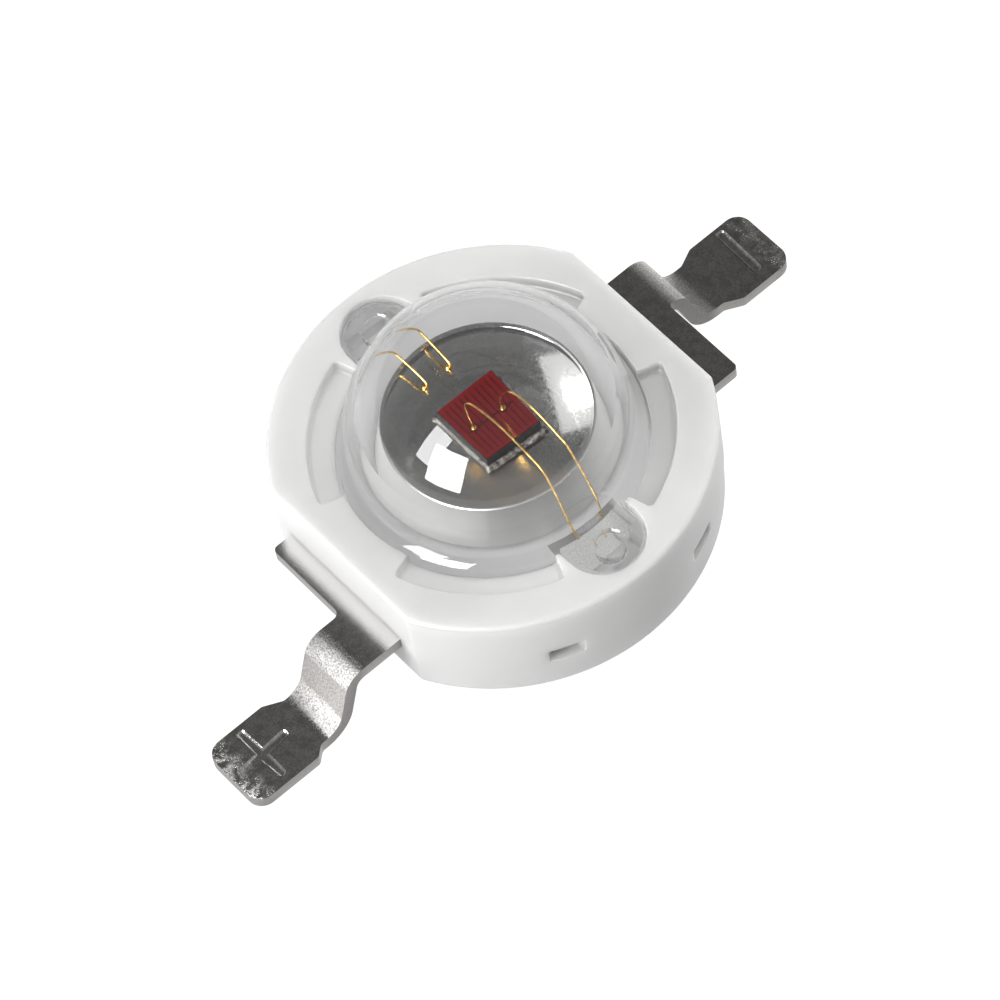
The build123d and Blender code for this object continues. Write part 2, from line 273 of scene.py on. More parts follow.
def merge(parts):
    """One bmesh of several solids, which are freed."""
    whole = bmesh.new()
    for part in parts:
        me = bpy.data.meshes.new("part")
        part.to_mesh(me)
        part.free()
        whole.from_mesh(me)
        bpy.data.meshes.remove(me)
    return whole


def to_object(name, bm, slots=1):
    """Object with empty material slots from a bmesh, which is freed."""
    me = bpy.data.meshes.new(name)
    bm.to_mesh(me)
    bm.free()
    for _ in range(slots):
        me.materials.append(None)
    ob = bpy.data.objects.new(name, me)
    scene.collection.objects.link(ob)
    return ob


def apply_modifiers(ob):
    """Puts the modified mesh in place of the object's own."""
    graph = bpy.context.evaluated_depsgraph_get()
    made = bpy.data.meshes.new_from_object(ob.evaluated_get(graph))
    ob.modifiers.clear()
    old = ob.data
    ob.data = made
    bpy.data.meshes.remove(old)


def boolean(target, cutter, operation):
    """Applies an exact boolean and removes the cutter."""
    mod = target.modifiers.new("cut", "BOOLEAN")
    mod.operation = operation
    mod.solver = "EXACT"
    mod.object = cutter
    apply_modifiers(target)
    bpy.data.objects.remove(cutter, do_unlink=True)


def bevel_edges(bm, width, least_angle=50.0):
    """Rounds each edge that turns by more than the least angle."""
    picked = []
    for e in bm.edges:
        if len(e.link_faces) == 2 and e.calc_face_angle(0) > math.radians(least_angle):
            picked.append(e)
    bmesh.ops.bevel(
        bm,
        geom=picked,
        offset=width,
        offset_type="OFFSET",
        segments=2,
        profile=0.5,
        affect="EDGES",
        clamp_overlap=True,
    )


def finish_piece(ob, node, mats, sharp=32.0, bevel=0.0, weighted=False):
    """Rounds and shades the piece, scales it to metres and registers it for its node."""
    bm = bmesh.new()
    bm.from_mesh(ob.data)
    bmesh.ops.remove_doubles(bm, verts=bm.verts, dist=1e-5)
    bmesh.ops.dissolve_degenerate(bm, dist=1e-5, edges=bm.edges)
    if bevel > 0:
        bevel_edges(bm, bevel)
    for f in bm.faces:
        f.smooth = True
    for e in bm.edges:
        e.smooth = len(e.link_faces) == 2 and e.calc_face_angle(0) < math.radians(sharp)
    bm.to_mesh(ob.data)
    bm.free()
    ob.data.transform(Matrix.Scale(0.001, 4))
    for i, m in enumerate(mats):
        ob.data.materials[i] = m
    if weighted:
        mod = ob.modifiers.new("normals", "WEIGHTED_NORMAL")
        mod.keep_sharp = True
        apply_modifiers(ob)
    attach(ob, "root")
    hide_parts(node)


# Material helpers
class Graph:
    """A short way to write a node material. Positions are taken in millimetres."""

    def __init__(self, name):
        self.mat = bpy.data.materials.new(name)
        self.mat.use_nodes = True
        self.tree = self.mat.node_tree
        self.tree.nodes.clear()
        self.out = self.tree.nodes.new("ShaderNodeOutputMaterial")
        self._place = None

    def node(self, kind, **values):
        n = self.tree.nodes.new(kind)
        for key, value in values.items():
            setattr(n, key, value)
        return n

    def link(self, a, b):
        self.tree.links.new(a, b)

    def put(self, socket, value):
        """Links an output to the socket, or sets a plain value on it."""
        if hasattr(value, "is_output"):
            self.link(value, socket)
        else:
            socket.default_value = value

    def place(self):
        """Position in the frame, in millimetres."""
        if self._place is None:
            geo = self.node("ShaderNodeNewGeometry")
            scale = self.node("ShaderNodeVectorMath", operation="SCALE")
            self.link(geo.outputs["Position"], scale.inputs[0])
            scale.inputs["Scale"].default_value = 1000.0
            self._place = scale.outputs[0]
        return self._place

    def stretch(self, factors):
        """Position multiplied by a factor for each axis."""
        m = self.node("ShaderNodeVectorMath", operation="MULTIPLY")
        self.link(self.place(), m.inputs[0])
        m.inputs[1].default_value = factors
        return m.outputs[0]

    def radius(self):
        """Distance from the vertical centre line."""
        m = self.node("ShaderNodeVectorMath", operation="LENGTH")
        self.link(self.stretch((1.0, 1.0, 0.0)), m.inputs[0])
        return m.outputs["Value"]

    def along(self, direction):
        """How far the position lies in a direction."""
        m = self.node("ShaderNodeVectorMath", operation="DOT_PRODUCT")
        self.link(self.place(), m.inputs[0])
        m.inputs[1].default_value = direction
        return m.outputs["Value"]

    def axis(self, name):
        """One coordinate of the position."""
        s = self.node("ShaderNodeSeparateXYZ")
        self.link(self.place(), s.inputs[0])
        return s.outputs[name]

    def levelness(self):
        """Height of the surface normal without its sign: 1 on level faces, 0 on walls."""
        geo = self.node("ShaderNodeNewGeometry")
        s = self.node("ShaderNodeSeparateXYZ")
        self.link(geo.outputs["Normal"], s.inputs[0])
        return self.size(s.outputs["Z"])

    def noise(self, scale, detail=3.0, rough=0.55, vector=None):
        n = self.node("ShaderNodeTexNoise")
        self.put(n.inputs["Vector"], vector or self.place())
        n.inputs["Scale"].default_value = scale
        n.inputs["Detail"].default_value = detail
        n.inputs["Roughness"].default_value = rough
        return n.outputs["Fac"]

    def math(self, operation, a, b=0.0):
        m = self.node("ShaderNodeMath", operation=operation)
        self.put(m.inputs[0], a)
        self.put(m.inputs[1], b)
        return m.outputs[0]

    def size(self, value):
        """The value without its sign."""
        return self.math("ABSOLUTE", value)

    def product(self, first, *others):
        """All the values multiplied."""
        for value in others:
            first = self.math("MULTIPLY", first, value)
        return first

    def total(self, first, *others):
        """All the values added up."""
        for value in others:
            first = self.math("ADD", first, value)
        return first

    def blend(self, a, b, share=0.5):
        """share of a and the rest of b."""
        return self.total(self.product(a, share), self.product(b, 1.0 - share))

    def span(self, value, a, b, c=0.0, d=1.0):
        """Smooth step from c to d while the value goes from a to b."""
        m = self.node("ShaderNodeMapRange")
        m.interpolation_type = "SMOOTHSTEP"
        self.put(m.inputs["Value"], value)
        m.inputs["From Min"].default_value = a
        m.inputs["From Max"].default_value = b
        m.inputs["To Min"].default_value = c
        m.inputs["To Max"].default_value = d
        return m.outputs["Result"]

    def ramp(self, value, dark, pale):
        """Colour ramp between two stops, each a place and a colour."""
        r = self.node("ShaderNodeValToRGB")
        self.put(r.inputs["Fac"], value)
        for e, (at, colour) in zip(r.color_ramp.elements, (dark, pale)):
            e.position = at
            e.color = (*colour, 1.0)
        return r.outputs["Color"]

    def mix(self, fac, a, b):
        m = self.node("ShaderNodeMix", data_type="RGBA")
        self.put(m.inputs["Factor"], fac)
        for socket, value in ((m.inputs["A"], a), (m.inputs["B"], b)):
            if isinstance(value, tuple):
                value = (*value, 1.0)
            self.put(socket, value)
        return m.outputs["Result"]

    def bump(self, height, distance, strength=1.0, normal=None):
        """Bump with its distance in millimetres."""
        b = self.node("ShaderNodeBump")
        self.put(b.inputs["Height"], height)
        b.inputs["Distance"].default_value = distance * 0.001
        b.inputs["Strength"].default_value = strength
        if normal is not None:
            self.link(normal, b.inputs["Normal"])
        return b.outputs["Normal"]

    def principled(self, **values):
        p = self.node("ShaderNodeBsdfPrincipled")
        for key, value in values.items():
            self.put(p.inputs[key.replace("_", " ")], value)
        return p

    def surface(self, shader):
        """Links the shader to the output and returns the material."""
        self.link(shader.outputs[0], self.out.inputs["Surface"])
        return self.mat


# Materials. Masks run from 0 to 1, and the tones of zones follow the photo's light.
def housing_material():
    """White moulded plastic with painted light on its lit side, in the well and in the windows,
    and painted shade in the far pockets and towards the far side of the well.
    """
    g = Graph("housing_plastic")
    broad = g.noise(1.6, 2.0)
    grain = g.noise(26.0, 3.0, 0.6)
    x, z, reach = g.axis("X"), g.axis("Z"), g.radius()
    below_top = g.span(z, 2.5, 2.4)
    lit_side = g.product(below_top, g.span(x, -0.5, 0.8))
    painted_shade_pocket = g.product(below_top, g.span(x, -0.2, -1.0), g.span(reach, 3.4, 3.3))
    ear = g.product(g.span(g.size(x), 0.80, 0.77), g.span(reach, 3.76, 3.74))
    inside = g.math("MAXIMUM", g.span(reach, 2.84, 2.78), ear)
    well = g.product(inside, g.span(z, HOUSING_TOP - 0.02, HOUSING_TOP - 0.10))
    painted_shade_far_well = g.span(x, -1.9, -2.5)
    painted_light_window = g.product(g.span(reach, 3.55, 3.5), g.span(z, 2.08, 2.0))
    tone = g.mix(broad, (0.65, 0.65, 0.645), (0.695, 0.695, 0.69))
    # Painted light: the lit side below the top is paler.
    tone = g.mix(lit_side, tone, (0.76, 0.76, 0.755))
    # Painted shade: the pockets on the far side are darker.
    tone = g.mix(painted_shade_pocket, tone, (0.59, 0.59, 0.585))
    # Painted light in the well under the lens, with painted shade towards its far side.
    tone = g.mix(well, tone, g.mix(painted_shade_far_well, (0.95, 0.95, 0.94), (0.68, 0.68, 0.675)))
    # Painted light: the windows under the ears are paler.
    tone = g.mix(painted_light_window, tone, (0.95, 0.95, 0.94))
    p = g.principled(
        Base_Color=tone,
        Roughness=g.span(grain, 0.3, 0.7, 0.36, 0.5),
        Subsurface_Weight=1.0,
        Subsurface_Radius=(1.0, 1.0, 1.0),
        Subsurface_Scale=0.0005,
        Normal=g.bump(g.blend(grain, broad, 0.6), 0.01, 0.5),
    )
    return g.surface(p)


def lead_material():
    """Rolled silver plating, rougher in the bends, at the worn foot ends and under the gel. Its
    tone holds painted light on the anode tab, the cathode bend and the plating under the gel, and
    painted shade on the cathode lead and the anode bend.
    """
    g = Graph("lead_plating")
    rolled = g.noise(3.0, 4.0, 0.6, vector=g.stretch((0.6, 9.0, 2.0)))
    grain = g.noise(30.0, 4.0, 0.75)
    patch = g.noise(5.0, 6.0, 0.75)
    speckle = g.span(g.noise(34.0, 3.0, 0.7), 0.42, 0.60)
    x = g.axis("X")
    out = g.size(x)
    bend = g.product(g.span(out, 4.3, 4.6), g.span(out, 5.6, 5.2))
    side = g.span(g.levelness(), 0.5, 0.2)
    worn = g.product(g.span(out, 6.5, 7.05), g.span(patch, 0.40, 0.66))
    under_gel = g.product(g.span(out, 1.6, 1.2), g.span(g.axis("Z"), 1.3, 1.4))
    cathode = g.span(x, 0.5, -0.5)
    painted_light_tab = g.product(g.span(x, 4.4, 3.6), g.span(x, 2.0, 3.0))
    cloud = g.span(g.blend(patch, grain), 0.40, 0.60)

    tone = g.mix(cloud, (0.56, 0.54, 0.51), (0.88, 0.865, 0.84))
    # Painted shade: the cathode lead gets a darker copy of the plating tone.
    painted_shade_tone = g.mix(cloud, (0.44, 0.425, 0.40), (0.70, 0.685, 0.66))
    tone = g.mix(cathode, tone, painted_shade_tone)
    # Painted light: the anode tab is paler.
    tone = g.mix(painted_light_tab, tone, (0.96, 0.95, 0.94))
    # Painted shade darkens the anode bend; painted light makes the cathode bend paler.
    painted_shade_bend = g.ramp(grain, (0.38, (0.16, 0.155, 0.15)), (0.62, (0.62, 0.61, 0.60)))
    painted_light_bend = g.ramp(grain, (0.38, (0.55, 0.54, 0.52)), (0.62, (1.0, 0.99, 0.97)))
    tone = g.mix(bend, tone, g.mix(cathode, painted_shade_bend, painted_light_bend))
    tone = g.mix(side, tone, g.mix(grain, (0.16, 0.155, 0.15), (0.36, 0.35, 0.34)))
    # Painted light: the plating under the gel is paler.
    tone = g.mix(under_gel, tone, g.mix(speckle, (0.76, 0.76, 0.75), (1.0, 1.0, 0.99)))

    rough = g.total(
        g.product(bend, 0.34),
        g.product(side, 0.2),
        g.span(grain, 0.3, 0.75, 0.07, 0.17),
        g.product(worn, 0.3),
        g.product(under_gel, 0.35),
    )
    smooth = g.bump(g.blend(rolled, grain), 0.005, 0.5)
    pitted = g.product(grain, g.total(bend, worn, under_gel))
    p = g.principled(
        Base_Color=tone,
        Metallic=g.span(under_gel, 0.0, 1.0, 1.0, 0.1),
        Roughness=rough,
        Normal=g.bump(pitted, 0.03, 0.6, smooth),
    )
    return g.surface(p)


def slug_material():
    """Bright plating with a haze at one side, painted shade on the dish wall and a matt stem made
    pale by painted light.
    """
    g = Graph("slug_plating")
    grain = g.noise(14.0, 4.0, 0.65)
    fine = g.noise(60.0, 2.0, 0.5)
    reach = g.radius()
    haze = g.span(g.along((0.75, 0.65, 0.0)), 0.25, 0.80)
    upright = g.span(g.levelness(), 0.4, 0.1)
    stem = g.product(upright, g.span(g.axis("Z"), 1.9, 2.0), g.span(reach, 1.35, 1.38))
    painted_shade_wall = g.product(upright, g.span(reach, 1.36, 1.34))
    tone = g.mix(grain, (0.80, 0.80, 0.79), (0.88, 0.88, 0.87))
    # Painted shade: the upright dish wall is dark.
    tone = g.mix(painted_shade_wall, tone, (0.22, 0.22, 0.22))
    # Painted light: the stem above the housing gets a pale tone.
    p = g.principled(
        Base_Color=g.mix(stem, tone, (0.97, 0.97, 0.96)),
        Metallic=g.span(stem, 0.0, 1.0, 1.0, 0.0),
        Roughness=g.mix(haze, g.span(fine, 0.40, 0.60, 0.02, 0.14), (0.26, 0.26, 0.26)),
        Normal=g.bump(grain, 0.0008, 0.4),
    )
    return g.surface(p)


def clear_material(name, ior, shade, rough=0.0):
    """Refracts for the camera and lets lamp light through, dimmed by shade."""
    g = Graph(name)
    glass = g.node("ShaderNodeBsdfGlass")
    glass.inputs["Color"].default_value = (1.0, 1.0, 1.0, 1.0)
    glass.inputs["Roughness"].default_value = rough
    glass.inputs["IOR"].default_value = ior
    g.link(g.bump(g.noise(0.7, 1.0), 0.01, 0.04), glass.inputs["Normal"])
    clear = g.node("ShaderNodeBsdfTransparent")
    clear.inputs["Color"].default_value = (shade, shade, shade, 1.0)
    path = g.node("ShaderNodeLightPath")
    m = g.node("ShaderNodeMixShader")
    g.link(path.outputs["Is Shadow Ray"], m.inputs[0])
    g.link(glass.outputs[0], m.inputs[1])
    g.link(clear.outputs[0], m.inputs[2])
    return g.surface(m)


def gel_material():
    """Gel where it touches the lens, the housing or the leads, so it shows no surface."""
    g = Graph("gel_bulk")
    clear = g.node("ShaderNodeBsdfTransparent")
    specks = g.mix(g.noise(9.0, 2.0), (0.99, 0.99, 0.99), (1.0, 1.0, 1.0))
    g.link(specks, clear.inputs["Color"])
    return g.surface(clear)


def epoxy_material():
    """Lumpy silver epoxy."""
    g = Graph("silver_epoxy")
    lumps = g.noise(16.0, 4.0, 0.7)
    p = g.principled(
        Base_Color=g.ramp(lumps, (0.35, (0.05, 0.046, 0.042)), (0.65, (0.40, 0.38, 0.35))),
        Metallic=0.75,
        Roughness=g.span(lumps, 0.2, 0.8, 0.3, 0.6),
        Normal=g.bump(lumps, 0.03, 0.9),
    )
    return g.surface(p)


def die_material():
    """Dark sawn sides of the chip."""
    g = Graph("die_substrate")
    saw = g.noise(6.0, 3.0, 0.6, vector=g.stretch((8.0, 8.0, 1.5)))
    p = g.principled(
        Base_Color=g.mix(saw, (0.012, 0.011, 0.011), (0.05, 0.047, 0.045)),
        Roughness=g.span(saw, 0.2, 0.8, 0.25, 0.5),
        Normal=g.bump(saw, 0.01, 0.4),
    )
    return g.surface(p)


def emitter_material():
    """Deep red, polished top of the chip."""
    g = Graph("emitter_red")
    fine = g.noise(40.0, 2.0)
    p = g.principled(
        Base_Color=g.mix(g.noise(5.0, 3.0), (0.20, 0.008, 0.011), (0.28, 0.014, 0.018)),
        Roughness=g.span(fine, 0.3, 0.7, 0.07, 0.13),
        IOR=1.85,
        Normal=g.bump(fine, 0.002, 0.2),
    )
    return g.surface(p)


def contact_material():
    """Thin metal of the pads and fingers, dark red in the photo."""
    g = Graph("contact_gold")
    fine = g.noise(60.0, 2.0)
    p = g.principled(
        Base_Color=g.mix(fine, (0.09, 0.013, 0.015), (0.15, 0.025, 0.025)),
        Metallic=0.6,
        Roughness=g.span(fine, 0.3, 0.7, 0.25, 0.4),
    )
    return g.surface(p)


def wire_material():
    """Drawn gold."""
    g = Graph("wire_gold")
    fine = g.noise(50.0, 2.0)
    p = g.principled(
        Base_Color=g.ramp(fine, (0.35, (0.72, 0.38, 0.08)), (0.65, (1.0, 0.72, 0.26))),
        Metallic=1.0,
        Roughness=g.span(fine, 0.3, 0.7, 0.12, 0.24),
    )
    return g.surface(p)


def floor_material():
    """Pale floor that glows evenly, so that it stays plain white."""
    g = Graph("studio_floor")
    d = g.node("ShaderNodeBsdfDiffuse")
    g.link(g.mix(g.noise(0.01, 1.0), (0.14, 0.14, 0.14), (0.16, 0.16, 0.16)), d.inputs["Color"])
    e = g.node("ShaderNodeEmission")
    e.inputs["Strength"].default_value = 0.98
    add = g.node("ShaderNodeAddShader")
    g.link(d.outputs[0], add.inputs[0])
    g.link(e.outputs[0], add.inputs[1])
    return g.surface(add)


# Housing
def body_outline(inset):
    """Round body with two flats and small corners, moved inwards by inset."""
    r = HOUSING_R - inset
    flat = FLAT_X - inset
    c = CORNER_ROUND
    cx = flat - c
    cy = math.sqrt((r - c) ** 2 - cx**2)
    phi = math.degrees(math.atan2(cy, cx))
    steps = 24
    pts = []
    for i in range(steps):
        pts.append((flat, -cy + 2 * cy * i / steps))
    pts += arc(cx, cy, c, 0, phi, 6)[:-1]
    pts += arc(0, 0, r, phi, 180 - phi, 90)[:-1]
    pts += arc(-cx, cy, c, 180 - phi, 180, 6)[:-1]
    for i in range(steps):
        pts.append((-flat, cy - 2 * cy * i / steps))
    pts += arc(-cx, -cy, c, 180, 180 + phi, 6)[:-1]
    pts += arc(0, 0, r, 180 + phi, 360 - phi, 90)[:-1]
    pts += arc(cx, -cy, c, 360 - phi, 360, 6)[:-1]
    return pts


def pocket_outline(middle, inset):
    """Arc pocket with rounded outer corners, its middle at an angle in degrees."""
    half = POCKET_HALF_ANGLE
    r = POCKET_R - inset
    c = POCKET_CORNER_ROUND
    beta = half - math.degrees(math.asin((inset + c) / (r - c)))
    side = math.degrees(math.asin(inset / POCKET_START_R))
    cx = (r - c) * math.cos(math.radians(beta))
    cy = (r - c) * math.sin(math.radians(beta))
    pts = arc(0, 0, POCKET_START_R, half - side, -half + side, 16)
    pts += arc(cx, -cy, c, -half - 90, -beta, 6)
    pts += arc(0, 0, r, -beta, beta, 40)[1:-1]
    pts += arc(cx, cy, c, beta, half + 90, 6)
    return turned(pts, middle)


def well_outline(inset):
    """Lens well with two ear scallops."""
    r = WELL_R - inset
    s = SCALLOP_R - inset
    a = math.degrees(math.atan2(math.sqrt(r * r - s * s), s))
    pts = arc(0, 0, r, -a, a, 80)
    pts += arc(0, EAR_Y, s, 0, 180, 24)
    pts += arc(0, 0, r, 180 - a, 180 + a, 80)
    pts += arc(0, -EAR_Y, s, 180, 360, 24)
    return pts


def recess(outline, floor, floor_round):
    """Cutter from the housing's top down to a floor, with a rounded lip."""
    loops = []
    if floor_round > 0:
        for c, s in quarter(5):
            loops.append((floor + floor_round * c, floor_round * s))
    else:
        loops.append((floor, 0.0))
    for c, s in quarter(4):
        loops.append((HOUSING_TOP - LIP_ROUND * s, -LIP_ROUND * c))
    loops.append((HOUSING_TOP + CUT_BEYOND, -LIP_ROUND))
    return loft([(z, outline(inset)) for z, inset in loops])


def tie_pocket(sx, sy):
    """Cutter of a side pocket round a tie bar stub, flared a little outwards."""
    back, wall, beyond = 3.37, 3.55, 3.9
    loops = []
    for depth, grow in ((back, 0.0), (wall, 0.0), (beyond, 0.02)):
        w = TIE_POCKET_HALF + grow
        b, t = TIE_POCKET_LOW - grow, TIE_POCKET_HIGH + grow
        corners = [(-w, b), (w, b), (w, t), (-w, t)]
        loops.append((depth, rounded(corners, [TIE_POCKET_ROUND] * 4, 4)))
    return loft(loops, lambda x, y, z: (sx * TIE_BAR_X + x, sy * z, y))


def channels(half_width, near, reach, bottom, top):
    """Two upright boxes with rounded corners, in front of and behind the centre."""
    corners = [(-half_width, near), (half_width, near), (half_width, reach), (-half_width, reach)]
    pts = rounded(corners, [WINDOW_ROUND] * 4, 5)
    parts = []
    for s in (-1, 1):
        plan = [(x, s * y) for x, y in pts]
        parts.append(loft([(bottom, plan), (top, plan)]))
    return merge(parts)


def housing_levels():
    """Height and inset of the outer wall, with a fine step at the parting line."""
    levels = []
    for c, s in quarter(4):
        levels.append((HOUSING_BOTTOM + BOTTOM_ROUND * c, BOTTOM_INSET + BOTTOM_ROUND * s))
    levels.append((PARTING - 0.012, 0.022))
    levels.append((PARTING - 0.004, 0.012))
    levels.append((PARTING + 0.004, 0.0))
    for c, s in quarter(6):
        levels.append((HOUSING_TOP - TOP_ROUND * s, TOP_ROUND * c))
    return levels


def build_housing():
    body = to_object("housing_shell", loft([(z, body_outline(d)) for z, d in housing_levels()]))
    parts = []
    for middle in (45, 135, 225, 315):
        floor = HOUSING_TOP - POCKET_DEPTH
        parts.append(recess(partial(pocket_outline, middle), floor, POCKET_FLOOR_ROUND))
    for sx in (-1, 1):
        for sy in (-1, 1):
            parts.append(tie_pocket(sx, sy))
    boolean(body, to_object("cutters", merge(parts)), "DIFFERENCE")
    boolean(body, to_object("well", recess(well_outline, WELL_FLOOR, 0.0)), "DIFFERENCE")
    bottom, top = LEAD_TOP - 0.02, WELL_FLOOR + 0.1
    for half, reach in ((WINDOW_HALF, WINDOW_REACH), (CHANNEL_HALF, CHANNEL_REACH)):
        cutter = channels(half, WINDOW_START, reach, bottom, top)
        boolean(body, to_object("windows", cutter), "DIFFERENCE")
    finish_piece(body, "housing", [housing_material()], weighted=True)


# Leads
def strip_side():
    """Side outline of the bent strip, x outwards and z up."""
    slope = math.radians(BEND_ANGLE)
    upper = 90 - BEND_ANGLE
    lower = 270 - BEND_ANGLE
    bends = FIRST_BEND_R + SECOND_BEND_R + LEAD_THICK
    cx, cz = BEND_START, LEAD_BOTTOM - FIRST_BEND_R
    drop = LEAD_BOTTOM - bends * (1 - math.cos(slope))
    fx = BEND_START + bends * math.sin(slope) + drop / math.tan(slope)
    fz = LEAD_THICK + SECOND_BEND_R
    pts = [(-3.0, LEAD_TOP)]
    pts += arc(cx, cz, FIRST_BEND_R + LEAD_THICK, 90, upper, 14)
    pts += arc(fx, fz, SECOND_BEND_R, lower, 270, 14)
    pts += [(FOOT_END, LEAD_THICK), (FOOT_END, 0.0)]
    pts += arc(fx, fz, SECOND_BEND_R + LEAD_THICK, 270, lower, 14)
    pts += arc(cx, cz, FIRST_BEND_R, upper, 90, 14)
    pts.append((-3.0, LEAD_BOTTOM))
    return pts


def tab_outline(wing, notch, inner_flare, outer_flare):
    """Plan of tab, wing and foot; each flare gives the x where the foot starts and is full."""
    wing_x = FLAT_X + wing
    inner, outer = FOOT_EDGES
    return rounded(
        [
            (TAB_ROOT, TAB_HALF),
            (outer_flare[0], TAB_HALF),
            (outer_flare[1], outer),
            (FOOT_END, outer),
            (FOOT_END, inner),
            (inner_flare[1], inner),
            (inner_flare[0], STRIP_EDGE),
            (wing_x, STRIP_EDGE),
            (wing_x, -TAB_HALF),
            (TAB_ROOT, -TAB_HALF),
        ],
        [0, 0.15, 0.12, 0.30, 0.30, 0.15, 0.15, notch, 0.10, 0],
        8,
    )


def ring_ends(r):
    """Angles where a circle of the inner plate meets its two ends."""
    start = 90 - math.degrees(math.asin(RING_START_X / r))
    end = -math.degrees(math.acos(RING_END_X / r))
    return start, end


def lead_plan(tab):
    """Tall prism over the whole lead. Its parts differ in height, so that no faces coincide."""
    plan = to_object("plan", loft([(-0.2, tab), (1.7, tab)]))
    start, end = ring_ends(RING_OUTER_R)
    ring = arc(0, 0, RING_OUTER_R, start, end, 60)
    start, end = ring_ends(RING_INNER_R)
    ring += arc(0, 0, RING_INNER_R, end, start, 40)
    boolean(plan, to_object("ring", loft([(-0.15, ring), (1.65, ring)])), "UNION")
    x0, x1 = TIE_BAR_X - TIE_BAR_HALF, TIE_BAR_X + TIE_BAR_HALF
    for s in (-1, 1):
        y0, y1 = s * TIE_BAR_ROOT, s * TIE_BAR_END
        bar = [(x0, y0), (x1, y0), (x1, y1), (x0, y1)]
        boolean(plan, to_object("bar", loft([(-0.1, bar), (1.6, bar)])), "UNION")
    return plan


def mark_cutter(start, end, width):
    """Round groove with ends that rise, for one stroke of a polarity sign."""
    depth = MARK_DEPTH
    r = (width * width / 4 + depth * depth) / (2 * depth)
    a, b = Vector((*start, 0)), Vector((*end, 0))
    along = (b - a).normalized()
    across = Vector((-along.y, along.x, 0))
    length = (b - a).length
    lift = LEAD_THICK + r - depth
    steps, around = 6, 32
    stations = []
    for i in range(steps):
        t = math.radians(90.0 * i / steps)
        stations.append((width / 2 * (1 - math.cos(t)), math.sin(t)))
    stations.append((length / 2, 1.0))
    stations += [(length - s, k) for s, k in reversed(stations[:-1])]
    bm = bmesh.new()
    rows = []
    for s, k in stations:
        row = []
        sink = r - depth * (1 - k)
        for j in range(around + 1):
            t = math.radians(180.0 + 180.0 * j / around)
            p = a + along * s + across * (sink * math.cos(t))
            row.append(bm.verts.new((p.x, p.y, lift + sink * math.sin(t))))
        for edge in (sink, -sink):
            p = a + along * s + across * edge
            row.append(bm.verts.new((p.x, p.y, lift + 0.3)))
        rows.append(row)
    skin(bm, rows)
    bmesh.ops.recalc_face_normals(bm, faces=bm.faces)
    return bm


def build_lead(name, material, tab, strokes, turn=0.0):
    side = strip_side()
    beyond = HOUSING_R + CUT_BEYOND
    strip = loft([(-beyond, side), (beyond, side)], lambda x, z, y: (x, y, z))
    body = to_object(name + "_strip", strip)
    boolean(body, lead_plan(tab), "INTERSECT")
    for start, end, width in strokes:
        boolean(body, to_object("mark", mark_cutter(start, end, width)), "DIFFERENCE")
    if turn:
        body.data.transform(Matrix.Rotation(turn, 4, "Z"))
    finish_piece(body, name, [material], sharp=46.0, bevel=0.022, weighted=True)


# Slug
def build_slug():
    profile = [(0.0, 0.0), (SLUG_BASE_R - SLUG_BASE_ROUND, 0.0), (SLUG_BASE_R - 0.018, 0.018)]
    profile += [(SLUG_BASE_R, SLUG_BASE_ROUND), (SLUG_BASE_R, SLUG_BASE_TOP)]
    profile += [(SLUG_STEP_R, SLUG_BASE_TOP), (SLUG_STEP_R, SLUG_STEP_TOP)]
    profile += [(STEM_R, SLUG_STEP_TOP), (STEM_R, STEM_RING_Z)]
    profile += arc(STEM_R - RIM_ROUND, SLUG_TOP - RIM_ROUND, RIM_ROUND, 0, 90, 8)
    profile += [(DISH_R + 0.002, SLUG_TOP), (DISH_R, SLUG_TOP - 0.003), (DISH_R, DISH_FLOOR)]
    profile += [(0.9, DISH_FLOOR), (0.5, DISH_FLOOR), (0.0, DISH_FLOOR)]
    ob = to_object("heat_slug_turned", revolve(profile, 192))
    finish_piece(ob, "heat_slug", [slug_material()], sharp=40.0)


# Lens
def lens_profile():
    """Closed section of the lens: its points and the slot of each segment."""
    pts, marks = [], []

    def add(r, z, slot):
        pts.append((r, z))
        marks.append(slot)

    add(MOUTH_R, WELL_FLOOR + SEAT_GAP, OUTER_SLOT)
    add(FLANGE_R, WELL_FLOOR + SEAT_GAP, OUTER_SLOT)
    for i in range(9):
        t = i / 8
        swell = FLANGE_BULGE * 4 * t * (1 - t) * math.sqrt(0.5)
        r = FLANGE_R - FLANGE_SLOPE * t + swell
        add(r, FLANGE_TOP - FLANGE_ROUND * (1 - t) + swell, OUTER_SLOT)
    add(DOME_R, DOME_FOOT_Z, OUTER_SLOT)
    for i in range(97):
        a = math.radians(90.0 * i / 96)
        add(DOME_R * math.cos(a), LENS_CENTRE + DOME_R * math.sin(a), OUTER_SLOT)
    marks[-1] = INNER_SLOT
    start = math.degrees(math.asin(CAVITY_CONE / CAVITY_R))
    for i in range(81):
        a = math.radians(90.0 - (90.0 - start) * i / 80)
        add(CAVITY_R * math.cos(a), LENS_CENTRE + CAVITY_R * math.sin(a), INNER_SLOT)
    marks[-1] = SEAT_SLOT
    add(FLARE_R, FLARE_Z, SEAT_SLOT)
    return pts, marks


def ear_outline(side, inset):
    """Round ear of the flange in front of or behind the dome."""
    r = EAR_R - inset
    pts = arc(0, EAR_Y, r, 0, 180, 40)
    pts += [(-r, EAR_ROOT_Y), (r, EAR_ROOT_Y)]
    return [(x, side * y) for x, y in pts]


def lens_ear(side):
    levels = [(WELL_FLOOR + SEAT_GAP, 0.0)]
    for c, s in quarter(5):
        levels.append((EAR_TOP - EAR_ROUND * s, EAR_ROUND * c))
    return loft([(z, ear_outline(side, d)) for z, d in levels])


